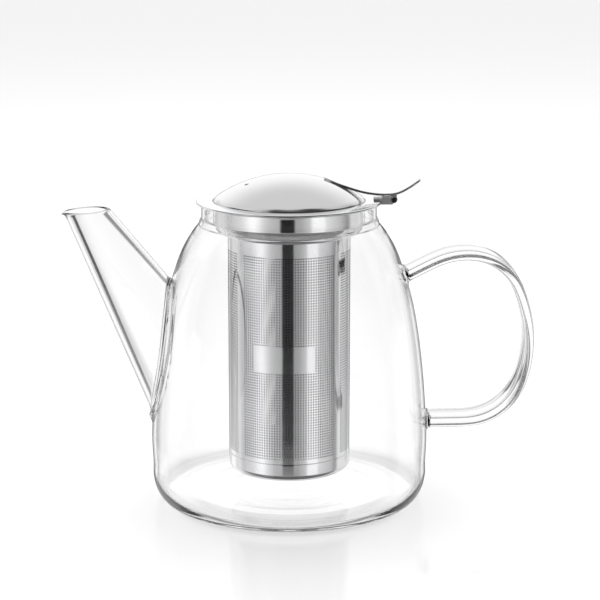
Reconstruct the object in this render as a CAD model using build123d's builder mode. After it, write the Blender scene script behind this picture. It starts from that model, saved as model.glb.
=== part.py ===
from build123d import *
import os
from math import cos, radians, sin, sqrt, tan

os.makedirs("parts", exist_ok=True)

# A glass teapot with a lift-out steel infuser and a hinged lid.  Millimetres.
# Origin: centre of the jug's flat base.  +Z up, +X towards the handle, -X towards the spout.

# Jug: one blown shell, widest low down, drawn in to a short straight neck.
glass_wall = 2.0
floor_thickness = 3.2
foot_radius = 58.0
belly_radius = 69.5
belly_height = 34.0
base_corner_height = 17.0
waist_radius, waist_height = 66.8, 69.3
shoulder_radius, shoulder_height = 61.8, 100.3
crown_radius, crown_height = 53.7, 125.7
crest_radius, crest_height = 44.9, 139.8
crest_slope = -0.72
neck_radius = 43.6
neck_height = 143.8
jug_height = 150.3

# Spout: a straight-sided glass cone that leans away from the belly.
spout_apex_x, spout_apex_z = -143.1, 212.9
spout_lean = 57.8
spout_half_angle = 7.3
spout_length_to_root = 185.0
spout_length_to_top = 70.0
mouth_x, mouth_z = -100.0, 146.2
mouth_tilt = 3.7
lip_reach = 1.7
lip_depth = 3.6

# Handle: a flattened glass strap, bent to a D and welded to the belly at both ends.
strap_width = 20.0
strap_thickness = 5.2
strap_edge_radius = 2.2
handle_corners = [(54, 111.9), (79.5, 125), (108.3, 125), (122.9, 81.7), (110, 40), (64, 39.2)]
handle_radii = [35, 27, 64, 30]
weld_spread = 3.0
weld_reach = 11.0
weld_depth = 0.4

# Infuser collar: a pressed ring that hangs on the jug's rim by its flange.
sheet = 0.8
flange_radius = 46.0
flange_underside = 150.6
mouth_inner_radius = 37.8
lid_seat_height = 149.5
collar_radius = 37.7
collar_foot_height = 140.5
throat_top = 135.9
throat_bottom = 134.4

# Strainer: a rolled tube closed by a drawn cup.
strainer_radius = 30.5
strainer_sheet = 0.5
strainer_bottom = 15.0
strainer_corner = 3.0
cup_seam_height = 24.0
cup_lip_height = 27.0
cup_lip_foot = 22.0

# Lid: a shallow dome that drops into the collar's mouth and rests on its seat.
lid_gap = 0.3
lid_rim_radius = 37.3
lid_edge_radius = 36.3
lid_edge_height = 152.7
lid_apex_height = 164.0
vent_radius = 1.2
vent_x, vent_y = -20.7, -7.0

# Thumb lever: a strap that grows out of the dome, dips over the hinge and turns up.
lever_width = 8.6
lever_thickness = 1.3
lever_line = [(17.4, 162.0), (27, 158.6), (38, 155.4), (48.5, 154.5), (54.2, 155.4), (64.8, 161.5)]
lever_point_x = 17.6
lever_shoulder_x = 29.0
lever_tip_x = 65.2

# Hinge: two ears on the flange, a centre knuckle under the lever, and a riveted pin.
pin_x, pin_z = 51.7, 152.2
pin_radius = 1.0
running_clearance = 0.05
knuckle_radius = 1.7
ear_radius = 1.55
ear_inner, ear_outer = 4.9, 5.9
knuckle_half = 4.7
ear_bottom = 149.9
ear_top = 153.4
ear_root_x = 44.9
web_x = 46.1
tab_x = 41.8
tab_half = 4.0
rivet_radius = 1.5
rivet_height = 0.7


def save(part, name):
    part.label = name
    export_step(part, f"parts/{name}.step")


def jug_outline(wall):
    """Radius-height points of the jug's side, moved in by the given wall."""
    side = [
        (belly_radius, belly_height),
        (waist_radius, waist_height),
        (shoulder_radius, shoulder_height),
        (crown_radius, crown_height),
        (crest_radius, crest_height),
    ]
    return [(radius - wall, height) for radius, height in side]


def jug_profile(wall, floor, top):
    """Draws half the section of the jug's outside (wall 0) or of its hollow."""
    side = jug_outline(wall)
    corner_start = (foot_radius - wall / 2, floor)
    corner_end = (belly_radius - wall - 0.35, base_corner_height + floor)
    Line((0, floor), corner_start)
    EllipticalCenterArc(
        (corner_start[0], corner_end[1]),
        corner_end[0] - corner_start[0],
        base_corner_height,
        start_angle=270,
        arc_size=90,
    )
    Spline(corner_end, *side, tangents=[(0, 1), (crest_slope, 1)])
    neck_foot = (neck_radius - wall, neck_height)
    Spline(side[-1], neck_foot, tangents=[(crest_slope, 1), (0, 1)])
    Polyline(neck_foot, (neck_radius - wall, top), (0, top), (0, floor))


def spout_point(distance):
    """A point on the spout's centre line, measured from the cone's apex."""
    lean = radians(spout_lean)
    return (spout_apex_x + distance * cos(lean), 0, spout_apex_z - distance * sin(lean))


def spout_cone(inset):
    """The spout's solid cone, inset by a wall, as a loft between two circles."""
    lean = radians(spout_lean)
    along = (cos(lean), 0, -sin(lean))
    half = radians(spout_half_angle)
    with BuildPart() as cone:
        for distance in (spout_length_to_top, spout_length_to_root):
            radius = distance * tan(half) - inset / cos(half)
            with BuildSketch(Plane(origin=spout_point(distance), x_dir=(0, 1, 0), z_dir=along)):
                Circle(radius)
        loft()
    return cone.part


with BuildPart() as jug_volume:
    with BuildSketch(Plane.XZ):
        with BuildLine():
            jug_profile(0, 0, jug_height)
        make_face()
    revolve(axis=Axis.Z)

# The same volume a little smaller, which the handle's welds sink into.
with BuildPart() as weld_bed:
    with BuildSketch(Plane.XZ):
        with BuildLine():
            jug_profile(weld_depth, 0, jug_height)
        make_face()
    revolve(axis=Axis.Z)

with BuildPart() as jug_hollow:
    with BuildSketch(Plane.XZ):
        with BuildLine():
            jug_profile(glass_wall, floor_thickness, jug_height + 10)
        make_face()
    revolve(axis=Axis.Z)

spout_hollow = spout_cone(glass_wall)

# The jug's body, open at the neck and where the spout joins it.
with BuildPart() as jug_body:
    add(jug_volume.part)
    add(jug_hollow.part, mode=Mode.SUBTRACT)
    rim = jug_body.edges().filter_by(GeomType.CIRCLE).group_by(Axis.Z)[-1]
    fillet(rim, glass_wall * 0.45)
    add(spout_hollow, mode=Mode.SUBTRACT)
save(jug_body.part, "jug_body")

# The spout, from its slanting mouth to the face of the belly.
mouth_plane = Plane(
    origin=(mouth_x, 0, mouth_z),
    x_dir=(cos(radians(mouth_tilt)), 0, sin(radians(mouth_tilt))),
    z_dir=(-sin(radians(mouth_tilt)), 0, cos(radians(mouth_tilt))),
)


def mouth_section(plane_drop, reach):
    """The spout's section on a plane below its mouth, stretched towards the lip by reach."""
    lean = radians(spout_lean)
    half = radians(spout_half_angle)
    tilt = radians(mouth_tilt)
    down = Vector(sin(tilt), 0, -cos(tilt)) * plane_drop
    middle = Vector(mouth_x, 0, mouth_z) + down
    ends = []
    for angle in (lean + half, lean - half):
        # Where the cone's side line meets the plane through the middle.
        side = (cos(angle), -sin(angle))
        normal = (-sin(tilt), cos(tilt))
        offset = (middle.X - spout_apex_x) * normal[0] + (middle.Z - spout_apex_z) * normal[1]
        along = offset / (side[0] * normal[0] + side[1] * normal[1])
        ends.append(Vector(spout_apex_x + along * side[0], 0, spout_apex_z + along * side[1]))
    centre = (ends[0] + ends[1]) / 2
    long_half = (ends[1] - ends[0]).length / 2
    to_apex = Vector(centre.X - spout_apex_x, 0, centre.Z - spout_apex_z)
    along_axis = to_apex.dot(Vector(cos(lean), 0, -sin(lean)))
    off_axis = sqrt(max(0, to_apex.length ** 2 - along_axis ** 2))
    short_half = sqrt((along_axis * tan(half)) ** 2 - off_axis ** 2)
    section_centre = centre - mouth_plane.x_dir * (reach / 2)
    with BuildSketch(
        Plane(origin=section_centre, x_dir=mouth_plane.x_dir, z_dir=mouth_plane.z_dir)
    ) as section:
        Ellipse(long_half + reach / 2, short_half)
    return section.sketch


with BuildPart() as spout:
    add(spout_cone(0))
    split(bisect_by=mouth_plane, keep=Keep.BOTTOM)
    loft([mouth_section(lip_depth, 0), mouth_section(0, lip_reach)])
    add(jug_volume.part, mode=Mode.SUBTRACT)
    add(spout_hollow, mode=Mode.SUBTRACT)
save(spout.part, "spout")

# The handle strap, with each end swelling into its weld.
with BuildPart() as handle:
    with BuildLine(Plane.XZ) as handle_path:
        FilletPolyline(*handle_corners, radius=handle_radii)
    start_plane = Plane(origin=handle_path.line @ 0, x_dir=(0, 1, 0), z_dir=handle_path.line % 0)
    with BuildSketch(start_plane):
        RectangleRounded(strap_width, strap_thickness, strap_edge_radius)
    sweep(path=handle_path.line)
    for share, facing in ((0, 1), (1, -1)):
        end = handle_path.line @ share
        inward = (handle_path.line % share) * facing
        # The weld starts inside the wall and fades into the strap.
        for distance, spread in ((0, weld_spread), (weld_reach, 0)):
            with BuildSketch(Plane(origin=end + inward * distance, x_dir=(0, 1, 0), z_dir=inward)):
                RectangleRounded(
                    strap_width + 2 * spread,
                    strap_thickness + 2 * spread,
                    strap_edge_radius + spread / 2,
                )
        loft()
    add(weld_bed.part, mode=Mode.SUBTRACT)
save(handle.part, "handle")

# The infuser's collar: flange, lid seat, straight wall and rounded shoulder in one sheet.
with BuildPart() as rim_collar:
    with BuildSketch(Plane.XZ):
        with BuildLine():
            flange_top = flange_underside + sheet
            throat_radius = strainer_radius + sheet
            shoulder_drop = collar_foot_height - throat_top
            Polyline(
                (flange_radius, flange_top),
                (mouth_inner_radius, flange_top),
                (mouth_inner_radius, lid_seat_height),
                (collar_radius - sheet, lid_seat_height),
                (collar_radius - sheet, collar_foot_height),
            )
            EllipticalCenterArc(
                (strainer_radius, collar_foot_height),
                collar_radius - sheet - strainer_radius,
                shoulder_drop,
                start_angle=270,
                arc_size=90,
            )
            Polyline(
                (strainer_radius, throat_top),
                (strainer_radius, throat_bottom),
                (throat_radius, throat_bottom),
                (throat_radius, throat_top - sheet),
            )
            EllipticalCenterArc(
                (throat_radius, collar_foot_height),
                collar_radius - throat_radius,
                shoulder_drop + sheet,
                start_angle=270,
                arc_size=90,
            )
            Polyline(
                (collar_radius, collar_foot_height),
                (collar_radius, lid_seat_height - sheet),
                (mouth_inner_radius + sheet, lid_seat_height - sheet),
                (mouth_inner_radius + sheet, flange_underside),
                (flange_radius, flange_underside),
                (flange_radius, flange_top),
            )
        make_face()
    revolve(axis=Axis.Z)
    outer_edges = rim_collar.edges().filter_by(GeomType.CIRCLE).filter_by(
        lambda edge: edge.radius > flange_radius - 0.1
    )
    fillet(outer_edges, sheet * 0.35)
    mouth_edge = rim_collar.edges().filter_by(GeomType.CIRCLE).filter_by(
        lambda edge: abs(edge.radius - mouth_inner_radius) < 0.1 and edge.center().Z > flange_underside
    )
    fillet(mouth_edge, sheet * 0.6)
save(rim_collar.part, "rim_collar")

# The strainer's tube.  Its fine perforation is too small to matter to the fit.
with BuildPart() as strainer_wall:
    with BuildSketch(Plane.XY.offset(cup_seam_height)):
        Circle(strainer_radius)
        Circle(strainer_radius - strainer_sheet, mode=Mode.SUBTRACT)
    extrude(amount=throat_top - cup_seam_height)
save(strainer_wall.part, "strainer_wall")

# The strainer's cup, with a lip that tucks up inside the tube.
with BuildPart() as strainer_base:
    with BuildSketch(Plane.XZ):
        with BuildLine():
            cup_inner = strainer_radius - strainer_sheet
            lip_inner = cup_inner - strainer_sheet
            inner_corner = strainer_corner - strainer_sheet
            FilletPolyline(
                (0, strainer_bottom),
                (strainer_radius, strainer_bottom),
                (strainer_radius, cup_seam_height),
                radius=strainer_corner,
            )
            Polyline(
                (strainer_radius, cup_seam_height),
                (cup_inner, cup_seam_height),
                (cup_inner, cup_lip_height),
                (lip_inner, cup_lip_height),
                (lip_inner, cup_lip_foot),
                (cup_inner, cup_lip_foot - strainer_sheet),
            )
            FilletPolyline(
                (cup_inner, cup_lip_foot - strainer_sheet),
                (cup_inner, strainer_bottom + strainer_sheet),
                (0, strainer_bottom + strainer_sheet),
                radius=inner_corner,
            )
            Line((0, strainer_bottom + strainer_sheet), (0, strainer_bottom))
        make_face()
    revolve(axis=Axis.Z)
save(strainer_base.part, "strainer_base")

# The dome and its turned-down rim, one pressed sheet with a steam vent.
rise = lid_apex_height - lid_edge_height
dome_radius = (lid_edge_radius ** 2 + rise ** 2) / (2 * rise)
dome_centre = lid_apex_height - dome_radius
lid_bottom = lid_seat_height + lid_gap


def dome_height(radius, depth):
    """Height of the dome's surface at a radius, depth below its outside."""
    return dome_centre + sqrt((dome_radius - depth) ** 2 - radius ** 2)


with BuildPart() as lid_dome:
    with BuildSketch(Plane.XZ):
        with BuildLine():
            inner_edge = lid_edge_radius - sheet * 0.6
            Line((0, lid_apex_height - sheet), (0, lid_apex_height))
            half_way = lid_edge_radius / 2
            ThreePointArc(
                (0, lid_apex_height),
                (half_way, dome_height(half_way, 0)),
                (lid_edge_radius, lid_edge_height),
            )
            roll_height = lid_edge_height - 1.4
            Spline(
                (lid_edge_radius, lid_edge_height),
                (lid_rim_radius, roll_height),
                tangents=[(lid_edge_height - dome_centre, -lid_edge_radius), (0, -1)],
            )
            Polyline(
                (lid_rim_radius, roll_height),
                (lid_rim_radius, lid_bottom),
                (lid_rim_radius - sheet, lid_bottom),
                (lid_rim_radius - sheet, roll_height),
            )
            Spline(
                (lid_rim_radius - sheet, roll_height),
                (inner_edge, dome_height(inner_edge, sheet)),
                tangents=[(0, 1), (-(dome_height(inner_edge, sheet) - dome_centre), inner_edge)],
            )
            ThreePointArc(
                (inner_edge, dome_height(inner_edge, sheet)),
                (half_way, dome_height(half_way, sheet)),
                (0, lid_apex_height - sheet),
            )
        make_face()
    revolve(axis=Axis.Z)
    with BuildSketch(Plane.XY.offset(lid_edge_height)):
        with Locations((vent_x, vent_y)):
            Circle(vent_radius)
    extrude(amount=rise, mode=Mode.SUBTRACT)

with BuildPart() as dome_volume:
    with BuildSketch(Plane.XZ):
        with BuildLine():
            Line((0, lid_bottom), (0, lid_apex_height))
            ThreePointArc(
                (0, lid_apex_height),
                (half_way, dome_height(half_way, 0)),
                (lid_edge_radius, lid_edge_height),
            )
            Polyline((lid_edge_radius, lid_edge_height), (lid_edge_radius, lid_bottom), (0, lid_bottom))
        make_face()
    revolve(axis=Axis.Z)
save(lid_dome.part, "lid_dome")

# The lever: its side view crossed with its leaf-shaped plan, resting on the dome.
with BuildPart() as lid_lever:
    with BuildSketch(Plane.XZ):
        with BuildLine():
            upper = Spline(*[(x, z + lever_thickness / 2) for x, z in lever_line])
            lower = Spline(*[(x, z - lever_thickness / 2) for x, z in lever_line])
            Line(upper @ 0, lower @ 0)
            Line(upper @ 1, lower @ 1)
        make_face()
    extrude(amount=lever_width, both=True)
    with BuildSketch(Plane.XY.offset(lid_edge_height - 5)):
        with BuildLine():
            half_width = lever_width / 2
            tip_start = lever_tip_x - half_width
            Spline(
                (lever_point_x, 0),
                (lever_shoulder_x, half_width),
                tangents=[(0.6, 1), (1, 0)],
            )
            Line((lever_shoulder_x, half_width), (tip_start, half_width))
            ThreePointArc((tip_start, half_width), (lever_tip_x, 0), (tip_start, -half_width))
            Line((tip_start, -half_width), (lever_shoulder_x, -half_width))
            Spline(
                (lever_shoulder_x, -half_width),
                (lever_point_x, 0),
                tangents=[(-1, 0), (-0.6, 1)],
            )
        make_face()
    extrude(amount=25, mode=Mode.INTERSECT)
    add(dome_volume.part, mode=Mode.SUBTRACT)
save(lid_lever.part, "lid_lever")

# The knuckle under the lever, bored to run on the pin.
with BuildPart() as lever_knuckle:
    with BuildSketch(Plane.XZ.offset(-knuckle_half)):
        with Locations((pin_x, pin_z)):
            Circle(knuckle_radius)
        with Locations((pin_x, pin_z + knuckle_radius)):
            Rectangle(2 * knuckle_radius * 0.8, 2 * knuckle_radius)
        with Locations((pin_x, pin_z)):
            Circle(pin_radius + running_clearance, mode=Mode.SUBTRACT)
    extrude(amount=2 * knuckle_half)
    with BuildSketch(Plane.XZ.offset(-lever_width)):
        with BuildLine():
            below = Spline(*[(x, z - lever_thickness / 2) for x, z in lever_line])
            Polyline(below @ 0, (lever_line[0][0], 170), (lever_line[-1][0], 170), below @ 1)
        make_face()
    extrude(amount=2 * lever_width, mode=Mode.SUBTRACT)
save(lever_knuckle.part, "lever_knuckle")

# The bracket: a tab on the flange, a web across its edge, and two ears for the pin.
with BuildPart() as hinge_bracket:
    with BuildSketch(Plane.XZ):
        with BuildLine():
            Polyline(
                (pin_x, pin_z + ear_radius),
                (pin_x - 2, ear_top),
                (ear_root_x, ear_top),
                (ear_root_x, ear_bottom),
                (pin_x - 1, ear_bottom),
                (pin_x, pin_z - ear_radius),
            )
            ThreePointArc(
                (pin_x, pin_z - ear_radius),
                (pin_x + ear_radius, pin_z),
                (pin_x, pin_z + ear_radius),
            )
        make_face()
    extrude(amount=ear_outer, both=True)
    # Hollow between the ears, leaving the web.
    with BuildSketch(Plane.XY.offset(ear_bottom)):
        with Locations(((web_x + sheet + 60) / 2, 0)):
            Rectangle(60 - web_x - sheet, 2 * ear_inner)
    extrude(amount=10, mode=Mode.SUBTRACT)
    with BuildSketch(Plane.XY.offset(flange_top + sheet)):
        with Locations((web_x / 2, 0)):
            Rectangle(web_x, 2 * ear_outer + 1)
    extrude(amount=10, mode=Mode.SUBTRACT)
    with BuildSketch(Plane.XY.offset(ear_bottom - 1)):
        with Locations((web_x / 2, 0)):
            Rectangle(web_x, 2 * ear_inner)
    extrude(amount=flange_underside - ear_bottom + 1.5, mode=Mode.SUBTRACT)
    with BuildSketch(Plane.XY.offset(flange_top)):
        with Locations(((tab_x + web_x) / 2, 0)):
            Rectangle(web_x - tab_x, 2 * tab_half)
    extrude(amount=sheet)
    # The flange passes through the roots of the ears.
    with BuildSketch(Plane.XY.offset(flange_underside)):
        Circle(flange_radius)
    extrude(amount=sheet, mode=Mode.SUBTRACT)
    with BuildSketch(Plane.XZ.offset(-ear_outer - 1)):
        with Locations((pin_x, pin_z)):
            Circle(pin_radius)
    extrude(amount=2 * ear_outer + 2, mode=Mode.SUBTRACT)
save(hinge_bracket.part, "hinge_bracket")

# The pin, peened over outside each ear.
with BuildPart() as hinge_pin:
    with BuildSketch(Plane.XZ):
        with Locations((pin_x, pin_z)):
            Circle(pin_radius)
    extrude(amount=ear_outer, both=True)
    for side in (-1, 1):
        head = Plane(origin=(pin_x, side * ear_outer, pin_z), z_dir=(0, side, 0))
        with BuildSketch(head):
            Circle(rivet_radius)
        extrude(amount=rivet_height)
    rivet_rims = hinge_pin.edges().filter_by(GeomType.CIRCLE)
    fillet([rivet_rims.sort_by(Axis.Y)[0], rivet_rims.sort_by(Axis.Y)[-1]], rivet_height * 0.8)
save(hinge_pin.part, "hinge_pin")
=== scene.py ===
import math

import bmesh
import bpy
import numpy as np
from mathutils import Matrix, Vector


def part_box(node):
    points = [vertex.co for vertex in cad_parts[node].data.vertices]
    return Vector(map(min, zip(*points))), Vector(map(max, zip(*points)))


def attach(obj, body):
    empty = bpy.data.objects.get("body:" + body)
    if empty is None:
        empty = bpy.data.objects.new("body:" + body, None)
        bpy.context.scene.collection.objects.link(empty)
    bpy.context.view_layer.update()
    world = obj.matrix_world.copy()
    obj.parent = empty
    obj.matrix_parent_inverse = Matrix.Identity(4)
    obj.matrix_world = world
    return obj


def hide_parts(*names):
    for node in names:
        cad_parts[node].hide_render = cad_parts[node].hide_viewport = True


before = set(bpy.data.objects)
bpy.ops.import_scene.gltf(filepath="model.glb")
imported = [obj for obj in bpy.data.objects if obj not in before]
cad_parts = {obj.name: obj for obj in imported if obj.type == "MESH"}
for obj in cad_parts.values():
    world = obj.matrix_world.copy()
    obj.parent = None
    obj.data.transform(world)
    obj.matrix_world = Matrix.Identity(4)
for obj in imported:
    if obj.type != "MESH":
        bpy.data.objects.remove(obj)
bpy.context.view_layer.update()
MM = 0.001


def make_camera():
    """Looks a little down at the teapot, from in front, through a long lens."""
    pitch = math.radians(12.6)
    distance = 1.000
    target = Vector((0.0054, 0.0, 0.1005))
    data = bpy.data.cameras.new("camera")
    data.sensor_width = 36
    data.lens = 120
    data.clip_start, data.clip_end = 0.01, 100
    camera = bpy.data.objects.new("camera", data)
    back = Vector((0, -math.cos(pitch), math.sin(pitch)))
    camera.location = target + back * distance
    camera.rotation_mode = "QUATERNION"
    camera.rotation_quaternion = (-back).to_track_quat("-Z", "Y")
    bpy.context.scene.collection.objects.link(camera)
    bpy.context.scene.camera = camera


make_camera()


# ---------------------------------------------------------------- mesh helpers
def add_piece(name, mesh, material, body, slot, *replaced):
    """Puts a finished mesh into the scene as a piece that rides on a body."""
    while mesh.materials:
        mesh.materials.pop()
    mesh.materials.append(material)
    piece = bpy.data.objects.new(name, mesh)
    bpy.context.scene.collection.objects.link(piece)
    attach(piece, body)
    if replaced:
        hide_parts(*replaced)
    return piece


def smooth(mesh, angle):
    """Smooth shading, with edges sharper than the angle kept crisp."""
    mesh.polygons.foreach_set("use_smooth", [True] * len(mesh.polygons))
    mesh.set_sharp_from_angle(angle=math.radians(angle))


def tidy(mesh, reach=1e-6):
    """Merges doubled points and turns every face outward."""
    bm = bmesh.new()
    bm.from_mesh(mesh)
    bmesh.ops.remove_doubles(bm, verts=bm.verts, dist=reach)
    bmesh.ops.dissolve_degenerate(bm, edges=bm.edges, dist=reach / 4)
    bmesh.ops.recalc_face_normals(bm, faces=bm.faces)
    bm.to_mesh(mesh)
    bm.free()


def skin(name, rings, capped=True):
    """Joins rings of points into one skin, closed at both ends or running round into itself."""
    count = len(rings[0])
    verts = [tuple(point) for ring in rings for point in ring]
    faces = []
    last = len(rings) - 1 if capped else len(rings)
    for i in range(last):
        j = (i + 1) % len(rings)
        for k in range(count):
            m = (k + 1) % count
            faces.append((i * count + k, i * count + m, j * count + m, j * count + k))
    if capped:
        faces.append(tuple(reversed(range(count))))
        faces.append(tuple((len(rings) - 1) * count + k for k in range(count)))
    mesh = bpy.data.meshes.new(name)
    mesh.from_pydata(verts, [], faces)
    tidy(mesh)
    return mesh


def lathe(name, outline, segments):
    """Turns a closed loop of (radius, height) points about the vertical axis."""
    rings = []
    for i in range(segments):
        angle = 2 * math.pi * i / segments
        rings.append([(r * math.cos(angle), r * math.sin(angle), z) for r, z in outline])
    return skin(name, rings, capped=False)


def arc(centre, radii, start, end, count):
    """Points on an ellipse's arc, angles in degrees."""
    angles = np.radians(np.linspace(start, end, count))
    return [(centre[0] + radii[0] * math.cos(a), centre[1] + radii[1] * math.sin(a)) for a in angles]


def run(start, end, count):
    """Evenly spaced points from start up to, but not at, end."""
    steps = np.arange(count) / count
    return [(start[0] + (end[0] - start[0]) * t, start[1] + (end[1] - start[1]) * t) for t in steps]


def curve_through(points, count):
    """A smooth curve through a few points, with count steps on each span."""
    p = [np.array(point, float) for point in points]
    p = [2 * p[0] - p[1]] + p + [2 * p[-1] - p[-2]]
    out = []
    for i in range(1, len(p) - 2):
        before, span, after = p[i] - p[i - 1], p[i + 1] - p[i], p[i + 2] - p[i + 1]
        t0, t1, t2 = (math.sqrt(np.linalg.norm(step)) for step in (before, span, after))
        leaving = span + (before / t0 - span / t1) * t1 * t1 / (t0 + t1)
        arriving = span + (after / t2 - span / t1) * t1 * t1 / (t1 + t2)
        for t in np.arange(count) / count:
            weights = (2 * t**3 - 3 * t**2 + 1, t**3 - 2 * t**2 + t, -2 * t**3 + 3 * t**2, t**3 - t**2)
            out.append(sum(w * v for w, v in zip(weights, (p[i], leaving, p[i + 1], arriving))))
    out.append(p[-2])
    return [tuple(point) for point in out]


def rounded_route(corners, radii, step):
    """Straight runs joined by arcs, sampled every step along the way."""
    points = [np.array(c, float) for c in corners]
    stops = [points[0]]
    for i, radius in enumerate(radii, start=1):
        before = points[i - 1] - points[i]
        after = points[i + 1] - points[i]
        before /= np.linalg.norm(before)
        after /= np.linalg.norm(after)
        half = math.acos(float(before @ after)) / 2
        reach = radius / math.tan(half)
        middle = before + after
        centre = points[i] + middle / np.linalg.norm(middle) * radius / math.sin(half)
        first, last = points[i] + before * reach, points[i] + after * reach
        turn = math.pi - 2 * half
        start = math.atan2(*(first - centre)[::-1])
        end = math.atan2(*(last - centre)[::-1])
        sweep = (end - start + math.pi) % (2 * math.pi) - math.pi
        count = max(3, int(radius * turn / step))
        stops += [centre + radius * np.array((math.cos(start + sweep * t), math.sin(start + sweep * t)))
                  for t in np.linspace(0, 1, count)]
    stops.append(points[-1])
    lengths = np.concatenate(([0], np.cumsum([np.linalg.norm(b - a) for a, b in zip(stops, stops[1:])])))
    places = np.linspace(0, lengths[-1], int(lengths[-1] / step))
    xs = np.interp(places, lengths, [s[0] for s in stops])
    zs = np.interp(places, lengths, [s[1] for s in stops])
    return xs, zs


def rounded_box(width, thickness, radius, count=6):
    """A rounded rectangle's outline, width along u and thickness along v."""
    points = []
    for corner, (su, sv) in enumerate(((1, 1), (-1, 1), (-1, -1), (1, -1))):
        centre = (su * (width / 2 - radius), sv * (thickness / 2 - radius))
        points += arc(centre, (radius, radius), corner * 90, corner * 90 + 90, count)
    return points


def combine(base, other, operation):
    """Joins, cuts or keeps the overlap of two closed meshes and returns the new mesh."""
    holder = bpy.data.objects.new("holder", base)
    tool = bpy.data.objects.new("tool", other)
    for piece in (holder, tool):
        bpy.context.scene.collection.objects.link(piece)
    modifier = holder.modifiers.new("combine", "BOOLEAN")
    modifier.object = tool
    modifier.operation = operation
    modifier.solver = "EXACT"
    bpy.context.view_layer.update()
    graph = bpy.context.evaluated_depsgraph_get()
    result = bpy.data.meshes.new_from_object(holder.evaluated_get(graph))
    for piece in (holder, tool):
        bpy.data.objects.remove(piece)
    return result


# ---------------------------------------------------------------- materials
class Nodes:
    """A short way to add shader nodes and link them."""

    def __init__(self, tree):
        self.tree = tree

    def add(self, kind, links=None, **values):
        node = self.tree.nodes.new("ShaderNode" + kind)
        for key, value in values.items():
            setattr(node, key, value)
        for socket, source in (links or {}).items():
            target = node.inputs[socket]
            if isinstance(source, bpy.types.NodeSocket):
                self.tree.links.new(source, target)
            else:
                target.default_value = source
        return node

    def math(self, operation, a, b=0.0, c=0.0):
        return self.add("Math", {0: a, 1: b, 2: c}, operation=operation).outputs[0]


def new_material(name):
    material = bpy.data.materials.new(name)
    material.use_nodes = True
    shader = material.node_tree.nodes["Principled BSDF"]
    return material, Nodes(material.node_tree), shader


def cylinder_coordinates(nodes, turns, rise, out):
    """Coordinates that follow a turned piece: angle, height and radius, each scaled."""
    place = nodes.add("TexCoord").outputs["Object"]
    split = nodes.add("SeparateXYZ", {0: place})
    angle = nodes.math("ARCTAN2", split.outputs["Y"], split.outputs["X"])
    square = nodes.math("MULTIPLY", split.outputs["X"], split.outputs["X"])
    square = nodes.math("MULTIPLY_ADD", split.outputs["Y"], split.outputs["Y"], square)
    radius = nodes.math("SQRT", square)
    parts = {"X": nodes.math("MULTIPLY", angle, turns),
             "Y": nodes.math("MULTIPLY", split.outputs["Z"], rise),
             "Z": nodes.math("MULTIPLY", radius, out)}
    return nodes.add("CombineXYZ", parts).outputs[0]


def plain_coordinates(nodes, scale):
    place = nodes.add("TexCoord").outputs["Object"]
    return nodes.add("Mapping", {"Vector": place, "Scale": scale}).outputs[0]


def steel(name, colour, roughness, grain, coordinates):
    """Stainless steel: fine scratches along one direction over cloudy polish."""
    material, nodes, shader = new_material(name)
    links = material.node_tree.links
    shader.inputs["Metallic"].default_value = 1.0
    brush = nodes.add("TexNoise", {"Vector": coordinates(nodes), "Scale": 1.0, "Detail": 4.0,
                                   "Roughness": 0.7})
    place = nodes.add("TexCoord").outputs["Object"]
    cloud = nodes.add("TexNoise", {"Vector": place, "Scale": 60.0, "Detail": 4.0})
    speck = nodes.add("TexNoise", {"Vector": place, "Scale": 420.0, "Detail": 2.0})
    blend = nodes.math("MULTIPLY_ADD", speck.outputs[0], 0.4, cloud.outputs[0])
    finish = nodes.add("MapRange", {"Value": blend, "From Min": 0.4, "From Max": 1.0,
                                    "To Min": roughness[0], "To Max": roughness[1]})
    darker = tuple(channel * 0.90 for channel in colour)
    tint = nodes.add("Mix", {"Factor": brush.outputs[0]}, data_type="RGBA")
    tint_out = [output for output in tint.outputs if output.type == "RGBA"][0]
    colours = [socket for socket in tint.inputs if socket.type == "RGBA"]
    colours[0].default_value, colours[1].default_value = (*darker, 1), (*colour, 1)
    bump = nodes.add("Bump", {"Height": brush.outputs[0], "Strength": grain, "Distance": 0.00005})
    links.new(finish.outputs[0], shader.inputs["Roughness"])
    links.new(tint_out, shader.inputs["Base Color"])
    links.new(bump.outputs[0], shader.inputs["Normal"])
    return material


def clear_glass():
    """Borosilicate glass: clear and fire polished, very slightly wavy."""
    material, nodes, shader = new_material("borosilicate_glass")
    links = material.node_tree.links
    shader.inputs["Base Color"].default_value = (1, 1, 1, 1)
    shader.inputs["Roughness"].default_value = 0.0
    shader.inputs["IOR"].default_value = 1.473
    shader.inputs["Transmission Weight"].default_value = 1.0
    place = nodes.add("TexCoord").outputs["Object"]
    wave = nodes.add("TexNoise", {"Vector": place, "Scale": 22.0, "Detail": 1.0})
    bump = nodes.add("Bump", {"Height": wave.outputs[0], "Strength": 0.02, "Distance": 0.001})
    links.new(bump.outputs[0], shader.inputs["Normal"])
    return material


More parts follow.
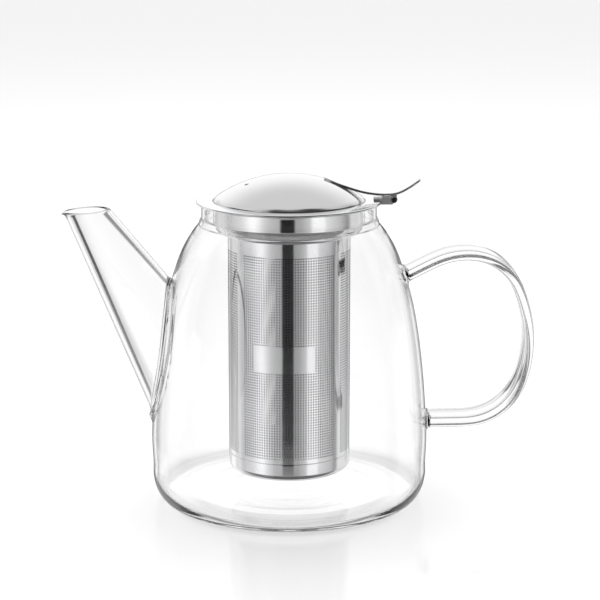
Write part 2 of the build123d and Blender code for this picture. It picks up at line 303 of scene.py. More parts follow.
GLASS = clear_glass()
SPUN = steel("spun_steel", (0.90, 0.90, 0.91), (0.06, 0.10), 0.10,
             lambda nodes: cylinder_coordinates(nodes, 3.0, 9000, 9000))
SATIN = steel("satin_steel", (0.88, 0.88, 0.89), (0.14, 0.19), 0.06,
              lambda nodes: cylinder_coordinates(nodes, 8.0, 5000, 5000))
STRAINER = steel("strainer_steel", (0.91, 0.91, 0.925), (0.085, 0.12), 0.05,
                 lambda nodes: cylinder_coordinates(nodes, 260.0, 120, 500))
# The strainer's inside skin, hole walls and panel edges: steel coloured near black, painted shade for the
# tube's shadowed inside.
SHADED_INSIDE_STEEL = steel("inside_steel_painted_shade", (0.10, 0.10, 0.105), (0.35, 0.5), 0.15,
               lambda nodes: cylinder_coordinates(nodes, 260.0, 120, 500))
# The hinge pin: steel coloured near black, much darker than the other steel.
DARK_PIN_STEEL = steel("rivet_steel", (0.16, 0.16, 0.165), (0.18, 0.28), 0.10,
                  lambda nodes: plain_coordinates(nodes, (900, 900, 900)))
PRESSED = steel("pressed_steel", (0.93, 0.93, 0.935), (0.55, 0.62), 0.10,
                lambda nodes: plain_coordinates(nodes, (300, 4000, 4000)))
MIRROR = steel("mirror_steel", (0.90, 0.90, 0.905), (0.04, 0.08), 0.05,
               lambda nodes: plain_coordinates(nodes, (250, 5000, 5000)))


# ---------------------------------------------------------------- glass jug
WALL = 1.6 * MM
FLOOR = 2.8 * MM
FLOOR_RADIUS = 59.2 * MM
FLOOR_CROWN = 1.1 * MM
RIPPLE = 0.12 * MM
RIPPLE_SPACING = 13.5 * MM
FOOT_RADIUS = 52 * MM
FOOT_HOLLOW = 0.7 * MM
JUG_SEGMENTS = 200
JUG_SIDE = [(69.1, 19), (69.5, 27), (69.5, 34), (66.8, 69.3), (61.8, 100.3), (53.7, 125.7), (48.6, 134.8),
            (44.9, 139.8)]
NECK_RADIUS = 43.6 * MM
NECK_FOOT = 144.0 * MM


def jug_side(inset):
    """The jug's side from its base corner up to the foot of its neck."""
    return [(r - inset, z) for r, z in curve_through([(r * MM, z * MM) for r, z in JUG_SIDE], 16)]


def rim_foot():
    """The height at which the neck's wall starts to round over into its rim."""
    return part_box("jug_body")[1].z - WALL / 2


def neck_turn(inset):
    """The tight bend under the neck, then the straight neck up to its rim."""
    radius = NECK_RADIUS - inset
    bend = arc((radius + 3.2 * MM, NECK_FOOT), (3.2 * MM, 3.2 * MM), 218, 180, 6)
    return bend + run((radius, NECK_FOOT + 0.4 * MM), (radius, rim_foot()), 4)


def jug_outside():
    """The outside, from the middle of the foot to the top of the rim."""
    foot = [(r, FOOT_HOLLOW * (1 - (r / FOOT_RADIUS) ** 2)) for r in np.linspace(0, FOOT_RADIUS, 8)]
    corner = arc((0.0612, 0.0142), (0.0079, 0.0142), 270, 360, 26)
    rim = arc((NECK_RADIUS - WALL / 2, rim_foot()), (WALL / 2, WALL / 2), 0, 90, 8)
    return foot + corner + jug_side(0) + neck_turn(0) + rim


def jug_inside():
    """The inside, from the middle of the rippled floor to the top of the rim."""
    floor = []
    for share in np.linspace(0, 1, 60):
        r = FLOOR_RADIUS * share
        ripple = RIPPLE * math.cos(2 * math.pi * r / RIPPLE_SPACING) * share * (1 - share ** 6)
        floor.append((r, FLOOR + FLOOR_CROWN * (1 - share ** 2) ** 2 + ripple))
    corner = arc((0.0608, 0.0146), (0.0067, 0.0118), 272, 360, 26)
    middle = NECK_RADIUS - WALL / 2
    rim = arc((middle, rim_foot()), (WALL / 2, WALL / 2), 180, 92, 8)
    return floor + corner + jug_side(WALL) + neck_turn(WALL) + rim


def body_radius(height):
    """The jug's outside radius at a height."""
    outline = jug_side(0)
    return float(np.interp(height, [z for r, z in outline], [r for r, z in outline]))


# The spout's cone: its apex, the lean of its axis and the angle of its side.
APEX = Vector((-0.1359, 0, 0.2041))
LEAN = math.radians(59.0)
HALF = math.radians(8.5)
AXIS = Vector((math.cos(LEAN), 0, -math.sin(LEAN)))
UP = Vector((-math.sin(LEAN), 0, -math.cos(LEAN)))
ACROSS = Vector((0, 1, 0))
MOUTH = Vector((-0.100, 0, 0.1462))
MOUTH_TILT = math.radians(3.7)
MOUTH_NORMAL = Vector((-math.sin(MOUTH_TILT), 0, math.cos(MOUTH_TILT)))
SPOUT_ROOT = 0.184
SPOUT_SEGMENTS = 112


def cone_line(angle):
    """The direction of one side line of the cone; angle 0 is the pouring side."""
    return AXIS + (UP * math.cos(angle) + ACROSS * math.sin(angle)) * math.tan(HALF)


def cone_point(angle, along, inset):
    """A point on the cone, inset from its side, at a distance along the axis."""
    radius = along * math.tan(HALF) - inset / math.cos(HALF)
    return APEX + AXIS * along + (UP * math.cos(angle) + ACROSS * math.sin(angle)) * radius


def mouth_distance(angle, depth, inset):
    """How far along the axis a side line passes a plane at a depth below the mouth."""
    start = APEX - (UP * math.cos(angle) + ACROSS * math.sin(angle)) * (inset / math.cos(HALF))
    return (MOUTH - MOUTH_NORMAL * depth - start).dot(MOUTH_NORMAL) / cone_line(angle).dot(MOUTH_NORMAL)


def body_distance(angle, inset):
    """How far along the axis a side line of the cone reaches the jug's wall, or its hollow."""
    low, high = 0.08, SPOUT_ROOT
    for _ in range(30):
        middle = (low + high) / 2
        if gap_to_jug(cone_point(angle, middle, inset), inset) > 0:
            low = middle
        else:
            high = middle
    return low


def gap_to_jug(point, inset):
    """How far a point stands out from the jug's side, or from its inside at an inset."""
    return math.hypot(point.x, point.y) - body_radius(point.z) + inset


def fillet(gap, radius):
    """How far a weld spreads at a gap from the surface that it runs into."""
    if gap >= radius:
        return 0.0
    height = radius - max(0.0, gap)
    return radius - math.sqrt(radius ** 2 - height ** 2)


LIP_DEPTH = 2.9 * MM
LIP_TURN = math.radians(88)
LIP_UP = -cone_line(0).normalized()
LIP_OUT = ACROSS.cross(LIP_UP) * -1


def lip(angle, depth, inset):
    """How far the pouring lip's bend moves a point of the rim: over and down at the front."""
    front = max(0.0, math.cos(angle)) ** 9
    height = min(LIP_DEPTH, max(0.0, LIP_DEPTH - depth))
    turn = LIP_TURN * front * height / LIP_DEPTH
    if turn < 1e-4:
        return Vector((0, 0, 0))
    bend = height / turn
    thinned = inset * (1 - 0.45 * front * height / LIP_DEPTH)
    over = bend * (1 - math.cos(turn)) - thinned * math.cos(turn) + inset
    up = bend * math.sin(turn) + thinned * math.sin(turn) - height
    return LIP_OUT * over + LIP_UP * up


def spout_rings(hollow):
    """Rings of the spout's outside, or of its hollow, from the mouth to inside the jug."""
    half_wall = WALL / 2
    turns = np.radians(np.linspace(2, 90, 7))
    rim = [(half_wall * (1 - math.cos(t)), half_wall * math.sin(t)) for t in turns]
    if hollow:
        levels = [(-0.004, half_wall)] + [(depth, half_wall + turn) for depth, turn in rim]
    else:
        levels = [(depth, half_wall - turn) for depth, turn in rim]
    inset = WALL if hollow else 0.0
    levels += [(depth, inset) for depth in (0.0014, 0.0018, 0.0023, 0.0029, 0.0040, 0.0060)]
    angles = np.arange(SPOUT_SEGMENTS) * 2 * math.pi / SPOUT_SEGMENTS
    rings = []
    for depth, level in levels:
        rings.append([cone_point(a, mouth_distance(a, depth, level), level) + lip(a, depth, level)
                      for a in angles])
    starts = [mouth_distance(a, levels[-1][0], inset) for a in angles]
    meets = [body_distance(a, inset) for a in angles]
    weld = 0.9 * MM if hollow else 2.0 * MM
    surface = WALL if hollow else 0.0
    shares = 1 - (1 - np.linspace(0.04, 1.0, 26)) ** 2
    for share in shares:
        ring = []
        for a, start, meet in zip(angles, starts, meets):
            along = start + (meet - start) * share
            gap = gap_to_jug(cone_point(a, along, inset), surface)
            ring.append(cone_point(a, along, inset - fillet(gap, weld)))
        rings.append(ring)
    for extra in (0.004, 0.012):
        rings.append([cone_point(a, meet + extra, inset - weld) for a, meet in zip(angles, meets)])
    return rings


HANDLE_CORNERS = [(54, 111.9), (79.5, 125), (108.3, 125), (122.9, 81.7), (110, 40), (62, 39.2)]
HANDLE_RADII = [35, 27, 64, 30]
STRAP_WIDTH = 20.0 * MM
STRAP_THICKNESS = 5.2 * MM
STRAP_ROUNDING = 2.4 * MM


def handle_mesh():
    """The glass strap, which spreads where it is welded to the body."""
    step = 0.7 * MM
    corners = [(x * MM, z * MM) for x, z in HANDLE_CORNERS]
    xs, zs = rounded_route(corners, [r * MM for r in HANDLE_RADII], step)
    for _ in range(60):
        xs[1:-1] = (xs[:-2] + 2 * xs[1:-1] + xs[2:]) / 4
        zs[1:-1] = (zs[:-2] + 2 * zs[1:-1] + zs[2:]) / 4
    weld = 2.4 * MM
    flat_u = STRAP_WIDTH / 2 - STRAP_ROUNDING
    flat_v = STRAP_THICKNESS / 2 - STRAP_ROUNDING
    rings = []
    for i in range(len(xs)):
        before, after = max(0, i - 1), min(len(xs) - 1, i + 1)
        ahead = Vector((xs[after] - xs[before], 0, zs[after] - zs[before])).normalized()
        out = ahead.cross(ACROSS)
        centre = Vector((xs[i], 0, zs[i]))
        ring = []
        for u, v in rounded_box(STRAP_WIDTH, STRAP_THICKNESS, STRAP_ROUNDING, 7):
            point = centre + ACROSS * u + out * v
            corner = Vector((max(-flat_u, min(flat_u, u)), max(-flat_v, min(flat_v, v))))
            away = (Vector((u, v)) - corner).normalized()
            spread = fillet(gap_to_jug(point, 0), weld)
            ring.append(point + (ACROSS * away.x + out * away.y) * spread)
        rings.append(ring)
    return skin("handle", rings)


def make_jug():
    """One fused piece of glass: body, spout and handle, hollow right through to the lip."""
    rise = 4 * MM
    outside = jug_outside()
    inside = jug_inside()
    top_in = (inside[-1][0], outside[-1][1] + rise)
    solid = lathe("jug", outside + [(0, outside[-1][1])], JUG_SEGMENTS)
    hollow = lathe("jug_hollow", inside + [top_in, (0, top_in[1])], JUG_SEGMENTS)
    solid = combine(solid, skin("spout", spout_rings(False)), "UNION")
    solid = combine(solid, handle_mesh(), "UNION")
    solid = combine(solid, hollow, "DIFFERENCE")
    solid = combine(solid, skin("spout_hollow", spout_rings(True)), "DIFFERENCE")
    tidy(solid, 5e-6)
    smooth(solid, 50)
    jug = add_piece("glass_jug", solid, GLASS, "jug", "clear_glass", "jug_body", "spout", "handle")
    jug.visible_shadow = False
    jug.visible_diffuse = False


# ---------------------------------------------------------------- strainer
HOLES_ROUND = 147
HOLE_ROWS = 78
HOLE_RADIUS = 0.40 * MM
HOLE_SIDES = 8
FIELD_FOOT = 26.0 * MM
PLAIN_STRIP = 9.0
FRONT_COLUMNS = 38
SIDE_COLUMNS = 45
PLATE_COLUMNS = range(5, 29)
PLATE_ROWS = range(34, 44)
PLATE_DEPTH = 0.12 * MM
STRAINER_SHEET = 0.5 * MM


def strainer_wall():
    """The perforated tube, rolled from one sheet: a front panel and two side panels."""
    low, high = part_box("strainer_wall")
    outer = high.x
    pitch_angle = 2 * math.pi / HOLES_ROUND
    pitch = pitch_angle * outer
    half_front = FRONT_COLUMNS * pitch_angle / 2
    strip = math.radians(PLAIN_STRIP)
    field_side = half_front + strip
    back = math.pi
    seam = half_front + strip / 2
    field_end = field_side + SIDE_COLUMNS * pitch_angle
    rows = [FIELD_FOOT + i * pitch for i in range(HOLE_ROWS + 1)]
    plate = (PLATE_COLUMNS, PLATE_ROWS)
    panels = (
        ("strainer_front", -seam, seam, -half_front, FRONT_COLUMNS, plate),
        ("strainer_handle_side", seam, back, field_side, SIDE_COLUMNS, None),
        ("strainer_spout_side", -back, -seam, -field_end, SIDE_COLUMNS, None),
    )
    for name, start, end, field_start, columns, blank in panels:
        mesh = panel_mesh(name, start, end, field_start, columns, rows, (low.z, high.z), outer, blank)
        replaced = ("strainer_wall",) if blank else ()
        piece = add_piece(name, mesh, STRAINER, "infuser", "strainer_steel", *replaced)
        # The second material colours the panel's inside, hole walls and edges near black, as painted shade.
        piece.data.materials.append(SHADED_INSIDE_STEEL)


def panel_mesh(name, start, end, field_start, columns, rows, ends, outer, blank):
    """A panel of the tube: two skins joined through every hole and round the panel's edge."""
    sheet = STRAINER_SHEET
    pitch_angle = 2 * math.pi / HOLES_ROUND
    field_end = field_start + columns * pitch_angle
    left = list(np.linspace(start, field_start, max(2, int(abs(field_start - start) / 0.02) + 1)))[:-1]
    right = list(np.linspace(field_end, end, max(2, int(abs(end - field_end) / 0.02) + 1)))[1:]
    turns = left + [field_start + i * pitch_angle for i in range(columns + 1)] + right
    heights = [ends[0]] + rows + list(np.linspace(rows[-1], ends[1], 4))[1:]
    wide, tall = len(turns), len(heights)
    first_column = len(left)
    verts = []
    for radius in (outer, outer - sheet):
        for height in heights:
            verts += [(radius, turn, height) for turn in turns]
    layer = wide * tall
    faces = []

    def corner(skin_index, column, row):
        return skin_index * layer + row * wide + column

    hole_angles = (np.arange(HOLE_SIDES) + 0.5) * 2 * math.pi / HOLE_SIDES - math.pi
    for row in range(tall - 1):
        for column in range(wide - 1):
            square = [(column, row), (column + 1, row), (column + 1, row + 1), (column, row + 1)]
            hole_column, hole_row = column - first_column, row - 1
            holed = 0 <= hole_column < columns and 0 <= hole_row < HOLE_ROWS
            if holed and blank and hole_column in blank[0] and hole_row in blank[1]:
                holed = False
            front = [corner(0, *place) for place in square]
            rear = [corner(1, *place) for place in square]
            if not holed:
                faces.append(front)
                faces.append(rear[::-1])
                continue
            turn = (turns[column] + turns[column + 1]) / 2
            height = (heights[row] + heights[row + 1]) / 2
            base = len(verts)
            for radius in (outer, outer - sheet):
                for a in hole_angles:
                    verts.append((radius, turn + HOLE_RADIUS * math.cos(a) / outer,
                                  height + HOLE_RADIUS * math.sin(a)))
            # Hole points run anticlockwise from the lower left corner, two to each corner.
            ring = [base + (k + 1) % HOLE_SIDES for k in range(HOLE_SIDES)]
            inner = [index + HOLE_SIDES for index in ring]
            for k in range(4):
                a, b = ring[(2 * k - 1) % 8], ring[2 * k]
                c = ring[(2 * k + 1) % 8]
                faces.append((front[k], b, a))
                faces.append((front[k], front[(k + 1) % 4], c, b))
                a, b = inner[(2 * k - 1) % 8], inner[2 * k]
                c = inner[(2 * k + 1) % 8]
                faces.append((rear[k], a, b))
                faces.append((rear[k], b, c, rear[(k + 1) % 4]))
            for k in range(HOLE_SIDES):
                m = (k + 1) % HOLE_SIDES
                faces.append((ring[k], ring[m], inner[m], inner[k]))
    for column in range(wide - 1):
        faces.append((corner(1, column, 0), corner(1, column + 1, 0), corner(0, column + 1, 0),
                      corner(0, column, 0)))
        top = tall - 1
        faces.append((corner(0, column, top), corner(0, column + 1, top), corner(1, column + 1, top),
                      corner(1, column, top)))
    for row in range(tall - 1):
        last = wide - 1
        faces.append((corner(0, 0, row), corner(0, 0, row + 1), corner(1, 0, row + 1), corner(1, 0, row)))
        faces.append((corner(0, last, row + 1), corner(0, last, row), corner(1, last, row),
                      corner(1, last, row + 1)))
    if blank:
        emboss(verts, turns, heights, first_column, blank, wide)
    places = np.array(verts)
    # A turn of 0 faces the viewer's side, -Y, and grows towards the handle.
    radii, turned, up = places.T
    xyz = np.stack([radii * np.sin(turned), -radii * np.cos(turned), up], 1)
    mesh = bpy.data.meshes.new(name)
    mesh.from_pydata(xyz.tolist(), [], faces)
    radial_normals(mesh)
    return mesh


def emboss(verts, turns, heights, first_column, blank, wide):
    """Presses the blank name plate's field in by a hair, which leaves a frame round it."""
    columns, rows = blank
    for row in range(rows[0] + 2, rows[-1] + 1):
        for column in range(columns[0] + 1, columns[-1] + 1):
            index = row * wide + first_column + column
            radius, turn, height = verts[index]
            verts[index] = (radius - PLATE_DEPTH, turn, height)


def radial_normals(mesh):
    """Gives the tube's skins the true normals of a cylinder, so that the panels' joints don't show."""
    mesh.polygons.foreach_set("use_smooth", [True] * len(mesh.polygons))
    count = len(mesh.polygons)
    face_normals = np.zeros(count * 3)
    mesh.polygons.foreach_get("normal", face_normals)
    face_normals = face_normals.reshape(-1, 3)
    totals = np.zeros(count, dtype=int)
    mesh.polygons.foreach_get("loop_total", totals)
    loop_verts = np.zeros(len(mesh.loops), dtype=int)
    mesh.loops.foreach_get("vertex_index", loop_verts)
    points = np.zeros(len(mesh.vertices) * 3)
    mesh.vertices.foreach_get("co", points)
    points = points.reshape(-1, 3)[loop_verts]
    normals = np.repeat(face_normals, totals, axis=0)
    radial = points * np.array((1, 1, 0))
    radial /= np.linalg.norm(radial, axis=1)[:, None]
    agree = (normals * radial).sum(1)
    skin_loops = np.abs(agree) > 0.985
    normals[skin_loops] = radial[skin_loops] * np.sign(agree[skin_loops])[:, None]
    mesh.normals_split_custom_set(normals.tolist())
    # The polished side is outermost; the etched holes and the inside stay matt, and are coloured near black
    # as painted shade.
    centres = np.zeros(count * 3)
    mesh.polygons.foreach_get("center", centres)
    outward = (face_normals * centres.reshape(-1, 3) * (1, 1, 0)).sum(1)
    reach = np.linalg.norm(centres.reshape(-1, 3)[:, :2], axis=1)
    mesh.polygons.foreach_set("material_index", (outward < reach * 0.9).astype(int).tolist())


def strainer_cup():
    """The drawn cup that closes the tube, with a lip tucked inside it."""
    low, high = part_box("strainer_base")
    outer = high.x
    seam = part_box("strainer_wall")[0].z
    sheet = STRAINER_SHEET
    turn = 3.0 * MM
    inner = outer - sheet
    outline = [(0, low.z + 0.3 * MM), (outer * 0.6, low.z + 0.05 * MM)]
    outline += run((outer * 0.62, low.z), (outer - turn, low.z), 4)
    outline += arc((outer - turn, low.z + turn), (turn, turn), 270, 360, 14)
    outline += run((outer, low.z + turn + 0.3 * MM), (outer, seam - 0.25 * MM), 8)
    outline += arc((outer - 0.2 * MM, seam - 0.2 * MM), (0.2 * MM, 0.2 * MM), 0, 90, 4)
    outline += [(inner, seam), (inner, high.z), (inner - sheet, high.z), (inner - sheet, seam - 2 * MM)]
    outline += [(inner, seam - 2.5 * MM)]
    outline += run((inner, seam - 3 * MM), (inner, low.z + turn), 4)
    outline += arc((outer - turn, low.z + turn), (turn - sheet, turn - sheet), 360, 270, 12)
    outline += [(outer * 0.6, low.z + sheet + 0.05 * MM), (0, low.z + sheet + 0.3 * MM)]
    mesh = lathe("strainer_cup", outline, 256)
    smooth(mesh, 40)
    add_piece("strainer_cup", mesh, STRAINER, "infuser", "strainer_steel", "strainer_base")


# ---------------------------------------------------------------- collar and lid
def collar():
    """The pressed collar: rolled flange, lid seat, straight wall, rounded shoulder and throat."""
    low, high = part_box("rim_collar")
    sheet = 0.8 * MM
    bead = 0.6 * MM
    top, under = high.z, high.z - sheet
    edge = high.x
    mouth = 37.8 * MM
    seat = 149.5 * MM
    wall = 37.7 * MM
    foot = 142.6 * MM
    throat_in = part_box("strainer_wall")[1].x
    throat_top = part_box("strainer_wall")[1].z
    throat_out = throat_in + sheet
    outline = arc((edge - bead, top - bead), (bead, bead), -150, 90, 16)
    outline += run((edge - 1 * MM, top), (mouth + 0.7 * MM, top), 6)
    outline += arc((mouth + 0.6 * MM, top - 0.6 * MM), (0.6 * MM, 0.6 * MM), 90, 180, 7)
    outline += [(mouth, seat + 0.1 * MM), (mouth - 0.1 * MM, seat), (wall - sheet + 0.1 * MM, seat)]
    outline += [(wall - sheet, seat - 0.2 * MM)]
    outline += run((wall - sheet, seat - 1 * MM), (wall - sheet, foot), 6)
    outline += arc((throat_in, foot), (wall - sheet - throat_in, foot - throat_top), 0, -86, 18)[1:]
    outline += [(throat_in, throat_top - 0.1 * MM), (throat_in, low.z + 0.1 * MM)]
    outline += [(throat_in + 0.1 * MM, low.z)]
    outline += [(throat_out - 0.1 * MM, low.z), (throat_out, low.z + 0.1 * MM)]
    outline += arc((throat_out, foot), (wall - throat_out, foot - low.z - 0.3 * MM), -84, 0, 26)
    outline += run((wall, foot + 0.5 * MM), (wall, seat - sheet - 0.5 * MM), 8)
    outline += arc((wall + 0.5 * MM, seat - sheet - 0.5 * MM), (0.5 * MM, 0.5 * MM), 180, 90, 5)
    outline += arc((mouth + 0.4 * MM, seat - 0.4 * MM), (0.4 * MM, 0.4 * MM), -90, 0, 5)
    outline += [(mouth + sheet, under - 0.2 * MM), (mouth + sheet + 0.2 * MM, under)]
    outline += run((mouth + sheet + 0.6 * MM, under), (edge - 2.1 * bead, under), 5)
    mesh = lathe("steel_collar", outline, 320)
    smooth(mesh, 38)
    add_piece("steel_collar", mesh, SPUN, "infuser", "polished_steel", "rim_collar")


DOME_EDGE = 36.3 * MM
DOME_EDGE_HEIGHT = 152.7 * MM
VENT = (-20.7 * MM, -7.0 * MM)
VENT_RADIUS = 1.1 * MM


def dome_sphere():
    """The radius of the dome's ball-shaped top, and the height of its centre."""
    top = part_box("lid_dome")[1].z
    rise = top - DOME_EDGE_HEIGHT
    radius = (DOME_EDGE ** 2 + rise ** 2) / (2 * rise)
    return radius, top - radius


def dome():
    """The lid's dome, rolled over at its rim, with a steam vent punched through it."""
    low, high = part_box("lid_dome")
    sheet = 0.8 * MM
    rim = high.x
    radius, centre = dome_sphere()
    steps = np.linspace(0, 1, 34)

    def shell(r, depth):
        return (r, centre + math.sqrt((radius - depth) ** 2 - r ** 2))

    outline = [shell(DOME_EDGE * t, 0) for t in steps]
    roll = DOME_EDGE_HEIGHT - 1.4 * MM
    outline += arc((rim - 1.7 * MM, roll - 0.45 * MM), (1.7 * MM, 1.7 * MM), 50, 0, 12)
    outline += run((rim, roll - 0.6 * MM), (rim, low.z + 0.2 * MM), 3)
    outline += arc((rim - 0.2 * MM, low.z + 0.2 * MM), (0.2 * MM, 0.2 * MM), 0, -90, 4)
    outline += [(rim - sheet, low.z), (rim - sheet, roll)]
    outline += [shell((DOME_EDGE - 0.9 * MM) * t, sheet) for t in steps[::-1]]
    mesh = lathe("steel_dome", outline, 320)
    punch = [(VENT[0] + VENT_RADIUS * math.cos(a), VENT[1] + VENT_RADIUS * math.sin(a))
             for a in np.arange(40) * 2 * math.pi / 40]
    tool = skin("punch", [[(x, y, z) for x, y in punch] for z in (high.z - 8 * MM, high.z + 2 * MM)])
    mesh = combine(mesh, tool, "DIFFERENCE")
    tidy(mesh)
    smooth(mesh, 30)
    add_piece("steel_dome", mesh, SATIN, "lid", "lid_steel", "lid_dome")


LEVER_LINE = [(17.4, 162.0), (27, 158.6), (38, 155.4), (48.5, 154.5), (54.2, 155.4), (64.8, 161.5)]


def lever():
    """The thumb lever: a leaf-shaped strap with rounded edges that turns up at its tip."""
    line = curve_through([(x * MM, z * MM) for x, z in LEVER_LINE], 14)
    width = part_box("lid_lever")[1].y * 2
    tip = line[-1][0]
    shoulder = 29 * MM
    start = line[0][0]
    thickness = 1.3 * MM
    rings = []
    for i, (x, z) in enumerate(line):
        before, after = line[max(0, i - 1)], line[min(len(line) - 1, i + 1)]
        ahead = Vector((after[0] - before[0], 0, after[1] - before[1])).normalized()
        normal = ahead.cross(ACROSS) * -1
        if x < shoulder:
            share = (x - start) / (shoulder - start)
            half = width / 2 * math.sin(math.pi / 2 * min(1, share * 0.92 + 0.08)) ** 0.8
        else:
            half = width / 2
        past = max(0.0, (x - (tip - width / 2)) / (width / 2))
        half *= math.sqrt(max(0.02, 1 - past ** 2))
        section = rounded_box(2 * half, thickness, min(half, thickness / 2) * 0.96, 7)
        rings.append([Vector((x, 0, z)) + ACROSS * u + normal * v for u, v in section])
    mesh = skin("steel_lever", rings)
    mesh = combine(mesh, dome_bed(), "DIFFERENCE")
    tidy(mesh)
    smooth(mesh, 40)
    add_piece("steel_lever", mesh, MIRROR, "lid", "polished_steel", "lid_lever")


def dome_bed():
    """The volume under the dome's outside, which the lever is fitted to."""
    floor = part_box("lid_dome")[1].z - 14 * MM
    radius, centre = dome_sphere()
    outline = [(r, centre + math.sqrt(radius ** 2 - r ** 2)) for r in np.linspace(0, DOME_EDGE, 30)]
    outline += [(DOME_EDGE, floor), (0, floor)]
    return lathe("bed", outline, 256)


def finish_node(node, material):
    """Keeps a CAD node's shape and gives it a better material."""
    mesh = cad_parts[node].data
    mesh.materials.clear()
    mesh.materials.append(material)


# ---------------------------------------------------------------- studio
# The studio's brightness by direction.  A direction is given in degrees as how far round it is
# from the viewer's side, positive towards the handle, and how far up.
LOW_RING = [(-180, 0.40), (-112, 0.40), (-96, 0.62), (-78, 0.78), (-68, 0.90), (-54, 1.35), (-42, 0.88),
            (-30, 0.60), (-16, 0.52), (0, 0.45), (16, 0.38), (28, 0.62), (42, 0.86), (56, 0.84), (70, 0.70),
            (84, 0.56), (94, 0.30), (102, 0.16), (112, 0.25), (130, 0.40), (180, 0.40)]
HIGH_RING = [(-180, 1.12), (-150, 1.06), (-125, 0.85), (-100, 0.80), (-70, 0.90), (60, 0.60), (95, 0.30),
             (115, 0.35), (135, 0.80), (155, 1.02), (180, 1.12)]
OVERHEAD = 0.72
HIGH_BLEND = (4.0, 24.0)
TOP_BLEND = (22.0, 56.0)
# Windows and flags in the studio, each laid over those before it: middle, half width and softness
# round; middle, half height and softness up; brightness.  They are placed for the front view, so that
# the glass and steel have the reflections wanted there.  From the side and the back they are plain to see.
PATCHES = [
    (0, 100, 5, -65, 38, 5, 0.13),
    (180, 78, 6, -50, 60, 6, 0.82),
    (180, 60, 6, -48.5, 6.5, 2, 0.42),
    (180, 46, 5, -8, 13, 2.5, 0.60),
    (180 - 28, 3.2, 0.8, -8, 13, 2.5, 1.08),
    (180 + 28, 3.2, 0.8, -8, 13, 2.5, 1.08),
    (180, 24.5, 0.8, -8, 13, 2.5, 0.66),
    (180, 17.8, 0.6, -8, 13, 2.5, 0.03),
    (180, 12.6, 0.6, -8, 13, 2.5, 0.74),
    (180, 9.5, 3.0, -8, 13.5, 4.0, 1.10),
    (180, 34, 4, -3.4, 2.8, 1.0, 0.22),
    (180, 26, 6, 12, 10.5, 2, 1.12),
    (10, 118, 8, 15, 17, 5, 0.08),
    (15, 78, 8, 39, 39, 5, 0.05),
    (-47, 13, 4, 32, 9, 4, 1.0),
    (-135, 10, 2, -27, 10, 2, 1.15),
    (-90, 6, 1.5, -3, 4, 1.5, 1.15),
    (45, 11, 3, -17, 9, 3, 1.12),
    (-2, 10.5, 0.8, 0, 14.6, 0.8, 0.004),
    (-2, 10.3, 1.0, -13, 6.5, 4.5, 0.02),
]


def ramp_by(nodes, angle, stops):
    """A smooth ramp of brightness over an angle in degrees from -180 to 180, at half scale."""
    share = nodes.add("MapRange", {"Value": angle, "From Min": -180.0, "From Max": 180.0})
    ramp = nodes.add("ValToRGB", {0: share.outputs[0]})
    ramp.color_ramp.interpolation = "B_SPLINE"
    elements = ramp.color_ramp.elements
    while len(elements) < len(stops):
        elements.new(0.5)
    for element, (place, level) in zip(elements, stops):
        element.position = (place + 180) / 360
        element.color = (level / 2, level / 2, level / 2, 1)
    return nodes.math("MULTIPLY", ramp.outputs["Color"], 2.0)


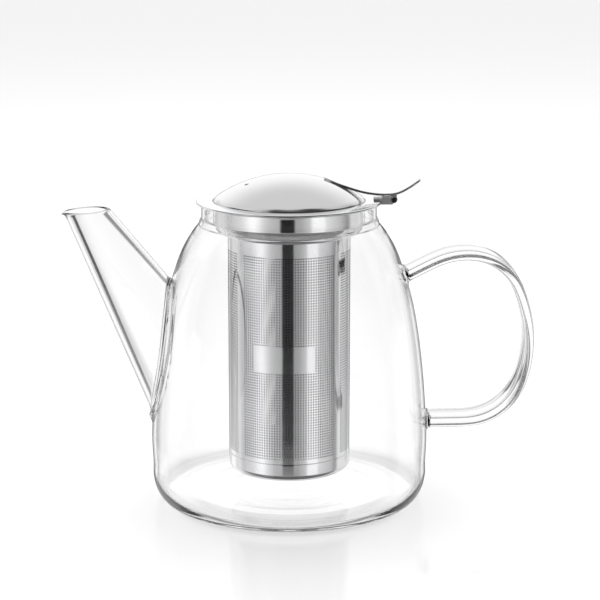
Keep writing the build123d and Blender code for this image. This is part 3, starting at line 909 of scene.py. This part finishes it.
def make_world():
    """Lights the scene by direction: two rings, a top, and the patches over them."""
    world = bpy.data.worlds.new("studio")
    bpy.context.scene.world = world
    world.use_nodes = True
    nodes = Nodes(world.node_tree)
    links = world.node_tree.links
    direction = nodes.add("TexCoord").outputs["Generated"]
    split = nodes.add("SeparateXYZ", {0: direction})
    degrees = 180 / math.pi
    forward = nodes.math("MULTIPLY", split.outputs["Y"], -1.0)
    round_angle = nodes.math("MULTIPLY", nodes.math("ARCTAN2", split.outputs["X"], forward), degrees)
    rise = nodes.math("MULTIPLY", nodes.math("ARCSINE", split.outputs["Z"]), degrees)
    low = ramp_by(nodes, round_angle, LOW_RING)
    high = ramp_by(nodes, round_angle, HIGH_RING)
    to_high = nodes.add("MapRange", {"Value": rise, "From Min": HIGH_BLEND[0], "From Max": HIGH_BLEND[1]},
                        interpolation_type="SMOOTHSTEP").outputs[0]
    to_top = nodes.add("MapRange", {"Value": rise, "From Min": TOP_BLEND[0], "From Max": TOP_BLEND[1]},
                       interpolation_type="SMOOTHSTEP").outputs[0]
    level = nodes.add("Mix", {0: to_high, 2: low, 3: high}).outputs[0]
    level = nodes.add("Mix", {0: to_top, 2: level, 3: OVERHEAD}).outputs[0]
    for middle, half, soft, height, tall, blur, bright in PATCHES:
        away = nodes.math("WRAP", nodes.math("SUBTRACT", round_angle, middle), 180.0, -180.0)
        across = edge_mask(nodes, away, half, soft)
        up = edge_mask(nodes, nodes.math("SUBTRACT", rise, height), tall, blur)
        mask = nodes.math("MULTIPLY", across, up)
        level = nodes.add("Mix", {0: mask, 2: level, 3: bright}).outputs[0]
    background = world.node_tree.nodes["Background"]
    background.inputs["Color"].default_value = (1, 1, 1, 1)
    links.new(level, background.inputs["Strength"])


def edge_mask(nodes, value, half, soft):
    """1 inside the half width and 0 outside it, with a soft edge."""
    distance = nodes.math("ABSOLUTE", value)
    return nodes.add("MapRange", {"Value": distance, "From Min": half - soft, "From Max": half + soft,
                                  "To Min": 1.0, "To Max": 0.0}, interpolation_type="SMOOTHSTEP").outputs[0]


def make_floor():
    """A pale table.  The glass and the steel don't see it: they see the studio's brightness below it."""
    size = 6.0
    mesh = bpy.data.meshes.new("floor")
    corners = [(-size, -size, 0), (size, -size, 0), (size, size, 0), (-size, size, 0)]
    mesh.from_pydata(corners, [], [(0, 1, 2, 3)])
    material, _, shader = new_material("pale_floor")
    shader.inputs["Base Color"].default_value = (0.95, 0.95, 0.95, 1)
    shader.inputs["Roughness"].default_value = 0.08
    shader.inputs["Specular IOR Level"].default_value = 0.25
    mesh.materials.append(material)
    floor = bpy.data.objects.new("floor", mesh)
    bpy.context.scene.collection.objects.link(floor)
    floor.visible_transmission = False
    floor.visible_glossy = False


def make_light():
    """A broad soft light overhead that keeps the table pale."""
    data = bpy.data.lights.new("overhead", "AREA")
    data.shape = "DISK"
    data.size = 2.4
    data.energy = 46
    light = bpy.data.objects.new("overhead", data)
    light.location = (0, 0.3, 2.2)
    light.visible_glossy = False
    light.visible_transmission = False
    light.visible_camera = False
    bpy.context.scene.collection.objects.link(light)


make_jug()
strainer_wall()
strainer_cup()
collar()
dome()
lever()
finish_node("hinge_bracket", PRESSED)
finish_node("hinge_pin", DARK_PIN_STEEL)
finish_node("lever_knuckle", PRESSED)
make_world()
make_floor()
make_light()
bpy.context.scene.view_settings.view_transform = "Standard"
# Light crosses many glass faces at the base corner, so the paths through it are allowed to be long.
cycles = bpy.context.scene.cycles
cycles.max_bounces = 24
cycles.transmission_bounces = 16
cycles.glossy_bounces = 12
